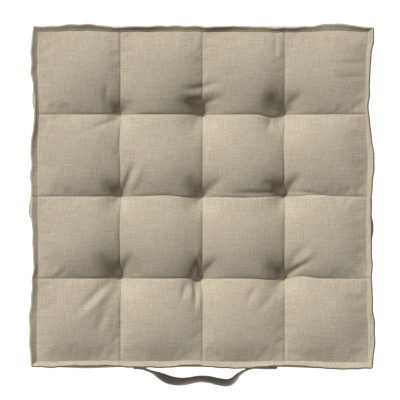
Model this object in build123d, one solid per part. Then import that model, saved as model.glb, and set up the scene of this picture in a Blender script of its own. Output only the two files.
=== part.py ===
"""Square tufted floor cushion with a carrying strap, in millimetres.

The cover is a mattress-style box: a top pieced from sixteen squares, four side walls (the boxing) and a
bottom panel, all in one woven cloth. Where a panel meets a wall, their edges are turned outwards together
and stitched down, which leaves a flat flange all round. A foam core with a layer of wadding above and below
fills it, nine twine ties pull the top down where four squares meet, and a zip in the back wall closes it.
A sewn strap on the front wall is the carrying handle.

Frame: +Z up, the front wall with the strap faces -Y, and the origin is in the middle of the underside.
Rows of squares count from the front (row 1) to the back, and columns from left (-X) to right.
"""

import math
import os

from build123d import *

# Cover
panel_side = 580.0  # top and bottom panels between their edge seams
seam_height = 100.0  # top edge seam above the floor
squares = 4  # pieced squares along each side
cloth = 1.0
seam_gap = 0.4  # between neighbouring squares, where both are turned down
flange_width = 10.0
flange_rise = 7.0  # of the top flange, from its seam to its free edge
flange_layer = 2.0  # one turned edge: the cloth and its own seam allowance
lay_gap = 0.1  # between cloths that lie on each other
boxing_bulge = 13.0  # how far a wall stands out past the edge seams, at mid height

# Shape of the padded top
dome = 8.0  # rise of the whole top at its middle
crown = 15.0  # rise of each square above its seams
tuft_sink = 28.0  # how far a tie pulls the top down

# Underside
dimple_radius = 22.0
dimple_top_radius = 3.0
dimple_height = 8.0

# Filling
side_wadding = 10.0  # round the sides of the foam
least_wadding = 2.5  # above and below the foam, where a tie draws the cover in
wadding_ease = 8.0  # from the edge of the upper and lower wadding to the edge seams
fill_gap = 0.3

# Ties
tie_radius = 0.9
tie_clearance = 0.2
knot_radius = 2.2
knot_clearance = 0.1  # between the upper knot and the slope of the hollow that it sits in
knot_drop = 0.7  # of the lower knot's highest point below the top of its hollow

# Edge stitching
thread = 0.6
thread_inset = 1.3  # from the edge seam to the thread's near side, out on the flange

# Carrying strap
strap_width = 30.0
strap_thickness = 3.0
tab_ends = (-123.0, 133.0)  # far ends of the strap, flat on the wall
lift_off = (-104.0, 86.0)  # where it leaves the wall
tab_overlap = 4.0  # how far the loop's own run goes back over its tab
strap_stand_off = 1.9  # middle of the strap's thickness from the wall, where it leaves it
strap_route = [  # places along the wall, with the distance out from it
    (-80.0, 9.5),
    (-57.0, 25.0),
    (-33.0, 26.0),
    (0.0, 21.5),
    (43.0, 28.5),
    (53.0, 26.0),
    (68.0, 11.0),
]
strap_radii = [12.0, 20.0, 20.0, 80.0, 80.0, 20.0, 12.0, 15.0, 12.0]  # at each bend, from left to right
swing_limit = 50.0  # degrees, up or down
swing_ease = 1.0  # left between the wall and the swung strap
swing_gap = 0.3  # cut between the fixed ends and the part that swings
stitch_inset = 3.0  # from a strap edge to its stitching
stitch_width = 0.8
stitch_proud = 0.5

# Zip
zip_end_ease = 10.0  # from each end of the coil to the cushion's corner seams
window_gap = 0.7  # between the slider and the two halves of the back wall
window_overrun = 6.0  # of the opening between those halves, past the coil
coil_height = 2.8  # one half
coil_thickness = 2.0
coil_gap = 1.4
tape_width = 14.0
tape_thickness = 0.6
tape_overrun = 5.0  # past the coil, at each end
stop_length = 3.0
slider_length = 12.0
slider_plate = 1.2
slider_clearance = 0.3
slider_rail = 1.0
slider_post_length = 4.0
slider_rest = 4.0  # from the closed slider to the stops
bridge_length = 8.4
bridge_width = 1.6
bridge_leg = 1.2
bridge_bar = 1.0
pull_length = 26.0  # from its pivot
pull_width = 7.0
pull_thickness = 1.2
pull_arm = 1.2
pull_hole = 2.0
pull_clearance = 0.3  # over the wall
pin_radius = 0.5

# Worked out from the sizes above
half = panel_side / 2
pitch = panel_side / squares
wall_low = 2 * flange_layer + lay_gap  # where the wall leaves the lower flange
wall_high = seam_height - 2 * flange_layer - lay_gap
wall_mid = (wall_low + wall_high) / 2
wall_radius = ((wall_high - wall_low) ** 2 / 4 + boxing_bulge**2) / (2 * boxing_bulge)
wall_out = half + boxing_bulge  # outermost line of a wall, from the middle of the cushion
wadding_reach = half - wadding_ease
tuft_points = [
    (pitch * i - half, pitch * j - half) for i in range(1, squares) for j in range(1, squares)
]
tuft_slope = 3 * math.sqrt(2) * tuft_sink / pitch  # where the top falls most steeply to a tie
in_front = (-2 * wall_out, -half)
hinge_out = strap_width / 2 * math.sin(math.radians(swing_limit)) + strap_thickness / 2 + swing_ease


def block(x, y, z):
    """A box between the two ends of each range."""
    size = [b - a for a, b in (x, y, z)]
    middle = [(a + b) / 2 for a, b in (x, y, z)]
    return Pos(*middle) * Box(*size)


def square_block(reach, low, high):
    return block((-reach, reach), (-reach, reach), (low, high))


def upright(x, y, radius, low, high):
    return Pos(x, y, (low + high) / 2) * Cylinder(radius, high - low)


def tie_hole(x, y):
    return upright(x, y, tie_radius + tie_clearance, 0, seam_height + dome)


def top_height(x, y, column, row):
    """Height of the padded top in one square: its crown, the dome of the whole, and the pull of its ties."""
    u = 2 * (x + half) / pitch - 2 * column - 1
    v = 2 * (y + half) / pitch - 2 * row - 1
    rise = crown * (1 - u * u) * (1 - v * v)
    rise += dome * (1 - (x / half) ** 2) * (1 - (y / half) ** 2)
    for side_u in (-1, 1):
        for side_v in (-1, 1):
            at_edge = column + (side_u + 1) / 2 in (0, squares) or row + (side_v + 1) / 2 in (0, squares)
            if not at_edge:
                rise -= tuft_sink * ((1 + side_u * u) * (1 + side_v * v) / 4) ** 3
    return seam_height + rise


def tuft_height(x, y):
    """Height of the padded top where a tie pulls it down."""
    return top_height(x, y, round((x + half) / pitch), round((y + half) / pitch))


def inside_wall(height):
    """How far from the middle of the cushion the inner face of a wall is, at some height."""
    return wall_out - wall_radius + math.sqrt((wall_radius - cloth) ** 2 - (height - wall_mid) ** 2)


# Zip sizes, from the cover around it
zip_length = panel_side - 2 * zip_end_ease
coil_edge = coil_gap / 2 + coil_height
zip_y = inside_wall(wall_mid + coil_edge + tape_width) - lay_gap - tape_thickness / 2
tape_y = (zip_y - tape_thickness / 2, zip_y + tape_thickness / 2)
coil_y = (zip_y - coil_thickness / 2, zip_y + coil_thickness / 2)
slider_height = 2 * (coil_edge + slider_clearance + slider_rail)
slider_face = coil_y[1] + slider_clearance + slider_plate
slider_start = -zip_length / 2 + slider_rest + slider_length / 2
pull_axis_y = wall_out + pull_clearance + pull_thickness / 2
tunnel_top = pull_axis_y + pin_radius + slider_clearance

# Filling sizes, from the cover around it
foam_low = cloth + dimple_height + fill_gap + least_wadding
foam_high = min(tuft_height(x, y) for x, y in tuft_points) - cloth - fill_gap - least_wadding
side_reach = min(inside_wall(foam_low), inside_wall(foam_high)) - fill_gap
foam_reach = side_reach - side_wadding


def cubic_poles(values):
    """Heights of the four poles of the cubic curve through four evenly spaced heights."""
    a, b, c, d = values
    return [a, (-5 * a + 18 * b - 9 * c + 2 * d) / 6, (2 * a - 9 * b + 18 * c - 5 * d) / 6, d]


def padded_solid(column, row, x_range, y_range, drop, depth):
    """What lies under one square of the padded top, from drop below it to drop + depth below it."""
    thirds = [n / 3 for n in range(4)]
    xs = [x_range[0] + (x_range[1] - x_range[0]) * t for t in thirds]
    ys = [y_range[0] + (y_range[1] - y_range[0]) * t for t in thirds]
    grid = [cubic_poles([top_height(x, y, column, row) - drop for y in ys]) for x in xs]
    poles = list(zip(*[cubic_poles(line) for line in zip(*grid)]))
    face = Face.make_bezier_surface([[(x, y, z) for y, z in zip(ys, line)] for x, line in zip(xs, poles)])
    return Solid.extrude(face, Vector(0, 0, -depth))


def square_range(index, inset):
    """The two ends of a square's span, less an inset at the seams between squares."""
    return pitch * index - half + inset, pitch * (index + 1) - half - inset


def on_side(shape, side):
    """Turns a shape made for the front to the front, right, back or left (0 to 3)."""
    return Rot(0, 0, 90 * side) * shape


def mitre():
    """The quarter of space that the front side may fill, out to its mitred corners."""
    reach = wall_out + flange_width
    corner = Polyline((0, 0), (-reach, -reach), (reach, -reach), close=True)
    return Pos(0, 0, -dimple_height) * extrude(make_face(corner), seam_height + crown + dome + dimple_height)


def along_front(profile, start, end):
    """A profile of (outwards, height) points made into a bar along the front, mitred at the corners."""
    points = [Vector(start, -half - out, height) for out, height in profile]
    face = Face(Wire.make_polygon(points, close=True))
    return Solid.extrude(face, Vector(end - start, 0, 0)) & mitre()


def sloped_strip(low, inner):
    """Profile of one layer of the top flange: low is its underside's height at the edge seam."""
    slope = flange_rise / flange_width
    return [
        (inner, low + slope * inner),
        (flange_width, low + flange_rise),
        (flange_width, low + flange_rise + flange_layer),
        (inner, low + flange_layer + slope * inner),
    ]


def top_square(column, row):
    """One square of the pieced top, with its share of the flange if it lies at an edge."""
    x_range = square_range(column, seam_gap / 2)
    y_range = square_range(row, seam_gap / 2)
    at_edge = {0: row == 0, 1: column == squares - 1, 2: row == squares - 1, 3: column == 0}
    x_range = (-half if at_edge[3] else x_range[0], half if at_edge[1] else x_range[1])
    y_range = (-half if at_edge[0] else y_range[0], half if at_edge[2] else y_range[1])
    square = padded_solid(column, row, x_range, y_range, 0, cloth)
    spans = {0: x_range, 1: y_range, 2: (-x_range[1], -x_range[0]), 3: (-y_range[1], -y_range[0])}
    for side, (start, end) in spans.items():
        if at_edge[side]:
            start -= flange_width if start == -half else 0
            end += flange_width if end == half else 0
            lip = along_front(sloped_strip(seam_height - flange_layer, 0), start, end)
            square = square + on_side(lip, side)
    for x, y in tuft_points:
        if abs(x - sum(x_range) / 2) < pitch and abs(y - sum(y_range) / 2) < pitch:
            square = square - tie_hole(x, y)
    return square


def wall_layer(inner, outer):
    """A curved layer along the front wall, between two distances out from its outer face."""
    turn = Pos(0, -wall_out + wall_radius, wall_mid) * Rot(0, 90, 0)
    tubes = [Cylinder(wall_radius + out, 2 * wall_out) for out in (outer, inner)]
    return turn * (tubes[0] - tubes[1])


def boxing():
    """The front wall with the edges it turns out into the upper and the lower flange."""
    reach = wall_out + flange_width
    upper = sloped_strip(seam_height - 2 * flange_layer - lay_gap, -cloth)
    lower = [
        (-cloth, wall_low - flange_layer),
        (flange_width, wall_low - flange_layer),
        (flange_width, wall_low),
        (-cloth, wall_low),
    ]
    between_lips = block((-reach, reach), (-reach, cloth - half), (wall_low, wall_high))
    wall = wall_layer(-cloth, 0) & between_lips & mitre()
    return wall + along_front(upper, -reach, reach) + along_front(lower, -reach, reach)


def back_boxing(upper):
    """The upper or lower half of the back wall. They meet at the corners, and leave a window for the zip."""
    reach = wall_out + flange_width
    window = zip_length / 2 + window_overrun
    edge = slider_height / 2 + window_gap
    height = seam_height + dome
    wall = on_side(boxing(), 2) & zip_bar((-reach, reach), (0, reach), (seam_gap / 2, height), upper)
    return wall - zip_bar((-window, window), (0, reach), (-seam_gap, edge), upper)


def dimple(rise):
    """The cone of a hollow in the underside, its flat top at the hollow's height plus rise."""
    slope = (dimple_radius - dimple_top_radius) / dimple_height
    height = dimple_height + rise
    return Pos(0, 0, height / 2) * Cone(dimple_radius + slope * rise, dimple_top_radius, height)


def bottom_panel():
    """The underside, thickened at its flange and drawn up in a hollow at each tie."""
    edge = half + flange_width
    panel = square_block(edge, 0, flange_layer) - square_block(half, cloth, flange_layer)
    for x, y in tuft_points:
        panel = panel + Pos(x, y, 0) * dimple(cloth)
    for x, y in tuft_points:
        panel = panel - Pos(x, y, 0) * dimple(0)
    return tie_holes(panel)


def tie_holes(shape):
    for x, y in tuft_points:
        shape = shape - tie_hole(x, y)
    return shape


def foam_core():
    return tie_holes(square_block(foam_reach, foam_low, foam_high))


def wadding_sides():
    """The band of wadding round the sides of the foam."""
    inner = foam_reach + lay_gap
    return square_block(side_reach, foam_low, foam_high) - square_block(inner, foam_low, foam_high)


def wadding_bottom():
    layer = square_block(wadding_reach, cloth + fill_gap, foam_low - lay_gap)
    for x, y in tuft_points:
        layer = layer - Pos(x, y, 0) * dimple(cloth + fill_gap)
    return tie_holes(layer)


def wadding_top():
    """One layer of wadding that fills the padded squares from the foam up to just under the cloth."""
    depth = seam_height + dome + crown - foam_high
    layer = None
    for column in range(squares):
        for row in range(squares):
            spans = [square_range(index, 0) for index in (column, row)]
            x_range, y_range = [(max(a, -wadding_reach), min(b, wadding_reach)) for a, b in spans]
            puff = padded_solid(column, row, x_range, y_range, cloth + fill_gap, depth)
            puff = puff & block(x_range, y_range, (foam_high + lay_gap, seam_height + dome + crown))
            layer = puff if layer is None else layer + puff
    return tie_holes(layer)


def tuft_tie(x, y):
    """A twine from the knot in the top's hollow down to the knot in the underside's."""
    top_knot = tuft_height(x, y) + knot_radius * math.hypot(1, tuft_slope) + knot_clearance
    low_knot = dimple_height - knot_drop - knot_radius
    twine = upright(x, y, tie_radius, low_knot, top_knot)
    return twine + Pos(x, y, top_knot) * Sphere(knot_radius) + Pos(x, y, low_knot) * Sphere(knot_radius)


def edge_stitching(low):
    """The thread round the cushion that holds a flange flat, as one square ring."""
    inner = half + thread_inset
    outer = inner + thread
    height = (low, low + thread)
    return block((-outer, outer), (-outer, outer), height) - block((-inner, inner), (-inner, inner), height)


def strap_line():
    """The middle line of the strap in plan, from tab to tab."""
    route = [
        (lift_off[0] - tab_overlap, strap_stand_off),
        (lift_off[0], strap_stand_off),
        *strap_route,
        (lift_off[1], strap_stand_off),
        (lift_off[1] + tab_overlap, strap_stand_off),
    ]
    return FilletPolyline(*[(x, -wall_out - out) for x, out in route], radius=strap_radii)


def strap_bar(thickness, low, high):
    """The strap's run as an upright bar of some thickness between two heights."""
    return Pos(0, 0, low) * extrude(trace(strap_line(), line_width=thickness), high - low)


def hinge_x(start, end):
    """Where a straight stretch of the strap crosses the line it swings about."""
    return start[0] + (end[0] - start[0]) * (hinge_out - start[1]) / (end[1] - start[1])


def swing_span():
    """The two ends, along X, of the part of the strap that swings."""
    return hinge_x(*strap_route[:2]), hinge_x(*strap_route[-2:])


def space_between(start, end):
    return block((start, end), in_front, (0, seam_height))


def handle_strap():
    left, right = swing_span()
    bar = strap_bar(strap_thickness, wall_mid - strap_width / 2, wall_mid + strap_width / 2)
    return bar & space_between(left, right)


def handle_stitching():
    """Two rows of thread along the strap, showing on both faces."""
    left, right = swing_span()
    rows = []
    for edge in (-1, 1):
        middle = wall_mid + edge * (strap_width / 2 - stitch_inset)
        low, high = middle - stitch_width / 2, middle + stitch_width / 2
        row = strap_bar(strap_thickness + 2 * stitch_proud, low, high) - strap_bar(strap_thickness, low, high)
        rows += (row & space_between(left, right)).solids()
    return Compound(children=rows)


def handle_end(left_side):
    """An end of the strap: a tab that lies on the wall, and the run from it to where the strap swings."""
    left, right = swing_span()
    z_range = (wall_mid - strap_width / 2, wall_mid + strap_width / 2)
    if left_side:
        tab, run = (tab_ends[0], lift_off[0]), (lift_off[0] - tab_overlap, left - swing_gap)
    else:
        tab, run = (lift_off[1], tab_ends[1]), (right + swing_gap, lift_off[1] + tab_overlap)
    flat = wall_layer(lay_gap, strap_thickness) & block(tab, in_front, z_range)
    return flat + (strap_bar(strap_thickness, *z_range) & space_between(*run))


def handle_end_stitching(left_side):
    """A rectangle of thread round the sewn end of the strap."""
    sewn_length = lift_off[0] - tab_overlap - tab_ends[0]
    inset = stitch_inset / 2
    far = tab_ends[0] if left_side else tab_ends[1] - sewn_length
    low_x, high_x = far + inset, far + sewn_length - inset
    reach = strap_width / 2 - stitch_inset
    outer = block((low_x, high_x), in_front, (wall_mid - reach, wall_mid + reach))
    inner = block(
        (low_x + stitch_width, high_x - stitch_width),
        in_front,
        (wall_mid - reach + stitch_width, wall_mid + reach - stitch_width),
    )
    return wall_layer(strap_thickness, strap_thickness + stitch_proud) & (outer - inner)


def zip_bar(x, y, from_mid, upper):
    """A box on the zip, given by how far it reaches from the zip's middle line, above or below it."""
    near, far = from_mid
    heights = (wall_mid + near, wall_mid + far) if upper else (wall_mid - far, wall_mid - near)
    return block(x, y, heights)


def zip_coil(upper):
    return zip_bar((-zip_length / 2, zip_length / 2), coil_y, (coil_gap / 2, coil_edge), upper)


def zip_tape(upper):
    end = zip_length / 2 + tape_overrun
    return zip_bar((-end, end), tape_y, (coil_edge, coil_edge + tape_width), upper)


def zip_end_stops():
    """Two stops past the closed end, one on each tape, and one bar across both at the open end."""
    end = zip_length / 2
    closed = (-end - stop_length, -end)
    stops = [zip_bar(closed, coil_y, (coil_gap / 2, coil_edge), upper) for upper in (True, False)]
    stops.append(block((end, end + stop_length), coil_y, (wall_mid - coil_edge, wall_mid + coil_edge)))
    return Compound(children=stops)


def zip_slider():
    """Two plates either side of the coil, joined by a post between its halves, with a bridge for the pull."""
    x_range = (slider_start - slider_length / 2, slider_start + slider_length / 2)
    reach = slider_height / 2
    post_x = (x_range[0], x_range[0] + slider_post_length)
    heights = (wall_mid - reach, wall_mid + reach)
    outer_y = (coil_y[1] + slider_clearance, slider_face)
    inner_y = (coil_y[0] - slider_clearance - slider_plate, coil_y[0] - slider_clearance)
    post_reach = coil_gap / 2 - slider_clearance
    slider = block(x_range, outer_y, heights) + block(x_range, inner_y, heights)
    slider = slider + block(post_x, (inner_y[1], outer_y[0]), (wall_mid - post_reach, wall_mid + post_reach))
    for upper in (True, False):
        rail = (reach - slider_rail, reach)
        slider = slider + zip_bar(x_range, (tape_y[1] + slider_clearance, outer_y[0]), rail, upper)
        slider = slider + zip_bar(x_range, (inner_y[1], tape_y[0] - slider_clearance), rail, upper)
    bridge_x = (slider_start - bridge_length / 2, slider_start + bridge_length / 2)
    bridge_z = (wall_mid - bridge_width / 2, wall_mid + bridge_width / 2)
    arch = block(bridge_x, (slider_face, tunnel_top + bridge_bar), bridge_z)
    tunnel_x = (bridge_x[0] + bridge_leg, bridge_x[1] - bridge_leg)
    return slider + (arch - block(tunnel_x, (slider_face, tunnel_top), bridge_z))


def zip_pull_tab():
    """A flat tab with two arms that straddle the bridge, and a pin through its tunnel."""
    y_range = (pull_axis_y - pull_thickness / 2, pull_axis_y + pull_thickness / 2)
    plate_start = slider_start + bridge_length / 2 + bridge_leg
    plate_end = slider_start + pull_length
    arm_low = bridge_width / 2 + slider_clearance
    arm = (arm_low, arm_low + pull_arm)
    tab = block((plate_start, plate_end), y_range, (wall_mid - pull_width / 2, wall_mid + pull_width / 2))
    hole = Pos(plate_end - pull_width / 2, pull_axis_y, wall_mid) * Rot(90, 0, 0)
    tab = tab - hole * Cylinder(pull_hole, 2 * pull_thickness)
    for upper in (True, False):
        tab = tab + zip_bar((slider_start - pin_radius, plate_start), y_range, arm, upper)
    return tab + upright(slider_start, pull_axis_y, pin_radius, wall_mid - arm[1], wall_mid + arm[1])


def make_nodes():
    nodes = {}
    for row in range(squares):
        for column in range(squares):
            nodes[f"top_square_r{row + 1}_c{column + 1}"] = top_square(column, row)
    nodes["front_boxing"] = boxing()
    nodes["right_boxing"] = on_side(boxing(), 1)
    nodes["left_boxing"] = on_side(boxing(), 3)
    nodes["bottom_panel"] = bottom_panel()
    nodes["foam_core"] = foam_core()
    nodes["wadding_sides"] = wadding_sides()
    nodes["wadding_top"] = wadding_top()
    nodes["wadding_bottom"] = wadding_bottom()
    for number, (x, y) in enumerate(tuft_points, 1):
        nodes[f"tuft_tie_{number}"] = tuft_tie(x, y)
    slope = flange_rise / flange_width
    nodes["top_edge_stitching"] = edge_stitching(seam_height + slope * (thread_inset + thread) + lay_gap)
    nodes["bottom_edge_stitching"] = edge_stitching(wall_low + lay_gap)
    nodes["handle_strap"] = handle_strap()
    nodes["handle_stitching"] = handle_stitching()
    for name, left_side in (("left", True), ("right", False)):
        nodes[f"handle_end_{name}"] = handle_end(left_side)
        nodes[f"handle_end_stitching_{name}"] = handle_end_stitching(left_side)
    for name, upper in (("upper", True), ("lower", False)):
        nodes[f"back_boxing_{name}"] = back_boxing(upper)
        nodes[f"zip_coil_{name}"] = zip_coil(upper)
        nodes[f"zip_tape_{name}"] = zip_tape(upper)
    nodes["zip_end_stops"] = zip_end_stops()
    nodes["zip_slider"] = zip_slider()
    nodes["zip_pull_tab"] = zip_pull_tab()
    return nodes


os.makedirs("parts", exist_ok=True)
for name, shape in make_nodes().items():
    export_step(shape, f"parts/{name}.step")
left, right = swing_span()
print(f"strap swings from x {left:.1f} to {right:.1f}, about y {-wall_out - hinge_out:.2f}, z {wall_mid:.2f}")
print(f"zip slider at x {slider_start:.1f}, pull pivot at y {pull_axis_y:.2f}, wall at {wall_out:.1f}")
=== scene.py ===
"""Looks of a square tufted floor cushion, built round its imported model.

Shapes are worked out in millimetres, in the frame of the model, and turned into metres when a mesh is made.
Every cover piece is a closed cloth shell on a grid of its own. The sixteen squares of the top share one
height, so that they meet at their seams, and one wandering of their outline, which the walls follow too.
"""

import math

import bpy
import numpy as np
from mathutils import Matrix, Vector


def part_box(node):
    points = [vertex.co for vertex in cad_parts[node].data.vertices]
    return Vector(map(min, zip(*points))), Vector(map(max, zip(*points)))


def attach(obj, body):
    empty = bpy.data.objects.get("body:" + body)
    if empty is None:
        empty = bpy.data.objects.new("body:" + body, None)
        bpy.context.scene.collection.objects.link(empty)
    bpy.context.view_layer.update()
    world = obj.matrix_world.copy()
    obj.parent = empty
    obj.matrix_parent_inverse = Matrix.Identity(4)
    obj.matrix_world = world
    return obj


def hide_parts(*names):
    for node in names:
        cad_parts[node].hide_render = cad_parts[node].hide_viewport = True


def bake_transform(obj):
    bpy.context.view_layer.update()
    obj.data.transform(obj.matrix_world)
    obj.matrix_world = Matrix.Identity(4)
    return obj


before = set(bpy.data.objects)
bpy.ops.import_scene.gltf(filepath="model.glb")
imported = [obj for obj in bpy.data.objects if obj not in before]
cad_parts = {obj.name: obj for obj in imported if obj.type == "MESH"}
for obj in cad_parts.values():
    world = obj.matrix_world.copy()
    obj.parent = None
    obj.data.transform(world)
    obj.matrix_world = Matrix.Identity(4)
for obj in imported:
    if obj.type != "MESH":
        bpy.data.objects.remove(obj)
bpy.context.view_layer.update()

MM = 0.001


def node_box(node):
    """Lowest and highest corner of a node of the model, in millimetres."""
    low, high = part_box(node)
    return np.array(low) / MM, np.array(high) / MM


# Sizes that the model gives
OUTER = -node_box("top_square_r1_c1")[0][0]
PITCH = node_box("top_square_r2_c3")[0][0] - node_box("top_square_r2_c2")[0][0]
HALF = 2 * PITCH
LIP = OUTER - HALF
WALL_OUT = -node_box("front_boxing")[0][1]
BULGE = WALL_OUT - HALF
FOAM_HIGH = node_box("foam_core")[1][2]

# Sizes that the model has too, but that its boxes don't show
CLOTH = 1.0
FLANGE_RISE = 7.0
FLANGE_LAYER = 2.0
LAY_GAP = 0.1
FLANGE_CLOTH = FLANGE_LAYER - LAY_GAP
SEAM_Z = node_box("front_boxing")[1][2] - FLANGE_RISE + FLANGE_LAYER + LAY_GAP
WALL_LOW = 2 * FLANGE_LAYER + LAY_GAP
WALL_HIGH = SEAM_Z - WALL_LOW
WALL_MID = (WALL_LOW + WALL_HIGH) / 2
WALL_RADIUS = ((WALL_HIGH - WALL_LOW) ** 2 / 4 + BULGE**2) / (2 * BULGE)

# The tufts, how far each one's pit runs into the pads, how steep and how suddenly the pits fall, and how
# round they are at the tie
TUFTS = [(i, j) for i in (-1, 0, 1) for j in (-1, 0, 1)]
PIT_REACHES = [31, 24, 22, 27, 25, 33, 26, 27, 30]
PIT_SLOPE = 1.35
PIT_FALL = 2.9
PIT_ROUND = 6.0

# How far the whole top is domed and each square is crowned
DOME = 9.0
CROWN = 13.5
CROWN_POWER = 2.1

# The crease at each seam, and how the cloth tucks in there, as (distance from the seam, drop)
CREASE = 1.7
CREASE_REACH = 3.4
TUCKS = [(0.06, 1.0), (0.3, 0.35), (0.9, 0.08)]

# The top flange at even steps of its cloth, as (distance out of the seam, height over it)
LIP_LINE = [
    (0.0, 0.0), (0.8, -0.5), (1.8, 0.1), (3.2, 1.2), (4.8, 2.6), (6.4, 4.1),
    (8.0, 5.5), (9.0, 6.2), (9.8, 6.2), (10.2, 5.6), (10.1, 4.7),
]
LIP_WIDTH = 11.0

# Folds of the top: place, direction in degrees, half length, half width, and height, which is below 0 for a
# valley. They go by the tuft that they run to, from the back left one; the last four lie on the outer pads.
FOLDS = [
    (-170, 184, 90, 18, 6, -2.2), (-175, 127, 200, 28, 5, -2.4), (-160, 160, 130, 16, 11, -2.5),
    (-14, 191, 5, 16, 5, -2.4), (-14, 179, 0, 16, 5, 0.9), (-14, 165, -5, 18, 6, -2.0),
    (9, 196, 15, 15, 5, -2.4), (10, 182, 15, 14, 5, 1.0), (12, 167, 20, 18, 5.5, -2.4),
    (-22, 158, 150, 20, 12, -2.5), (126, 165, 70, 26, 15, -5.5), (118, 129, 85, 12, 4.5, -3.0),
    (163, 170, 45, 14, 8, -2.8), (-130, 31, 70, 24, 6, -5.0), (-118, 28, 68, 24, 7, 2.8),
    (-163, 12, 130, 18, 10, -2.8), (-15, 18, 115, 20, 12, -3.2), (18, 18, 40, 24, 8, -2.4),
    (95, 7, -2, 42, 5, -2.8), (128, 14, 140, 20, 12, -3.2), (160, 22, 50, 16, 8, -3.4),
    (185, 5, -8, 24, 3, -1.8), (-180, -181, 45, 36, 8, 3.6), (-192, -177, 45, 30, 8, -3.2),
    (-177, -218, 70, 20, 8, -2.4), (-158, -222, 90, 12, 4, -1.4), (-134, -120, 65, 16, 7, -3.2),
    (-168, -126, 120, 24, 15, -4.5), (-8, -128, 95, 18, 5, -5.0), (-9, -102, 95, 14, 5, 2.2),
    (-33, -168, 75, 14, 4.5, -2.8), (-12, -175, 88, 24, 4, -3.4), (-19, -166, 82, 16, 4, 2.4),
    (12, -125, 45, 14, 7, -2.8), (87, -173, 60, 14, 6, -2.4), (113, -186, 50, 22, 8, -2.2),
    (170, -127, 32, 24, 6, -4.0), (180, -112, 42, 18, 6, 1.4), (172, -98, 45, 22, 8, -2.0),
    (128, -130, 125, 18, 12, -3.4), (129, 268, 90, 24, 4, -1.2), (137, 262, 90, 18, 4, 0.6),
    (258, 235, 3, 32, 4, -1.0), (255, 210, 3, 30, 4, -0.9),
]

# Where the cloth is drawn sideways: x, y, how far along x and along y, and how wide a patch
PULLS = [
    (-20, -1, 0, -3.5, 25), (124, 143, 0, -6.0, 17), (-5, -146, -4.5, -1.0, 16),
    (125, -148, 0, -3.0, 25), (175, -145, 0, 4.0, 22), (-146, 90, -2.0, 0, 30),
    (-147, -60, -1.5, 0, 40), (140, 90, -2.0, 0, 30), (200, 4, 0, 3.0, 30),
    (-60, 3, 0, 2.0, 40), (70, -2, 0, -2.0, 40),
]

# How far each side's flange stands out or in, as (place along the side, distance)
WAVES = {
    "front": [(-276, 0), (-190, -2.5), (-75, 1), (-22, -2.5), (57, 2.5), (154, -2.5), (251, 3.5), (296, 2.5)],
    "right": [(-301, -1), (-253, 3.5), (-161, -2), (-6, -2.5), (56, 2), (154, -8), (229, -5), (294, 2)],
    "back": [(-296, 0), (-207, 3.5), (-146, -1), (-93, 0), (66, 0), (146, -2), (239, 3.5), (296, -2)],
    "left": [
        (-297, 2), (-241, 5), (-112, -2), (3, 2), (82, 2), (156, -4.5), (197, -1), (241, 2.5), (299, -1),
    ],
}

# How far the lower flange wanders
LOW_WAVE = 1.6

# How full the side walls and the corners are, as a share of the front and back walls
SIDE_FULL = 0.76
CORNER_FULL = 0.62

# Swells of the walls, as (side, place along it, height over the floor, how far out, half width). One is a
# hollow, and goes in.
SWELLS = [
    ("left", -18, 62, 7.0, 26),
    ("right", -56, 60, 4.5, 40),
    ("right", 165, 50, -5.0, 60),
    ("left", 160, 50, 2.5, 50),
    ("front", -210, 55, 2.5, 45),
    ("front", 215, 50, 2.5, 45),
]
SWELL_HALF_HEIGHT = 26.0

SIDES = {"front": (0, -1), "right": (1, 0), "back": (0, 1), "left": (-1, 0)}

# Carrying strap: places along the wall with the distance out from it
STRAP_ROUTE = [
    (-123, 1.8), (-117, 1.8), (-109, 1.9), (-88, 10.0), (-62, 24.5), (-34, 28.5), (0, 20.0),
    (38, 30.0), (53, 28.0), (68, 10.5), (86, 1.9), (100, 1.8), (133, 1.8),
]
STRAP_WIDTH = 30.0
STRAP_THICKNESS = 3.0
STRAP_LEAN = 0.43
STRAP_BOW = 0.011
STITCH_INSET = 3.0
STITCH_SPACING = 4.2

# A stitch from end to end: share of its length, and its height over the cloth and its thickness as shares
# of its radius
STITCH_STEPS = [
    (0, -0.6, 0.7), (0.12, 0.35, 0.95), (0.35, 0.75, 1), (0.65, 0.75, 1), (0.88, 0.35, 0.95), (1, -0.6, 0.7),
]


# ------------ numbers


def smooth(start, end, value):
    """0 before start, 1 after end, with a smooth rise between them."""
    share = np.clip((value - start) / (end - start), 0, 1)
    return share * share * (3 - 2 * share)


def through(points, place):
    """A smooth line through given points, read at some places."""
    xs = np.array([p[0] for p in points], float)
    ys = np.array([p[1] for p in points], float)
    index = np.clip(np.searchsorted(xs, place) - 1, 0, len(xs) - 2)
    share = smooth(0, 1, (place - xs[index]) / (xs[index + 1] - xs[index]))
    return ys[index] + share * (ys[index + 1] - ys[index])


def ripple(seed, x, y, size, waves=9):
    """Soft seeded noise of about 1 in height, whose waves are about size long."""
    random = np.random.default_rng(seed)
    total = np.zeros(np.broadcast(x, y).shape)
    for _ in range(waves):
        turn = random.uniform(0, 2 * math.pi)
        length = size * random.uniform(0.7, 1.8)
        phase = random.uniform(0, 2 * math.pi)
        total += np.cos(2 * math.pi * (x * math.cos(turn) + y * math.sin(turn)) / length + phase)
    return total / math.sqrt(waves / 2)


def grid_normals(grid):
    """Unit normals of a grid of points."""
    across = np.gradient(grid, axis=1)
    along = np.gradient(grid, axis=0)
    normal = np.cross(across, along)
    return normal / np.maximum(np.linalg.norm(normal, axis=-1, keepdims=True), 1e-9)


# ------------ meshes


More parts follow.
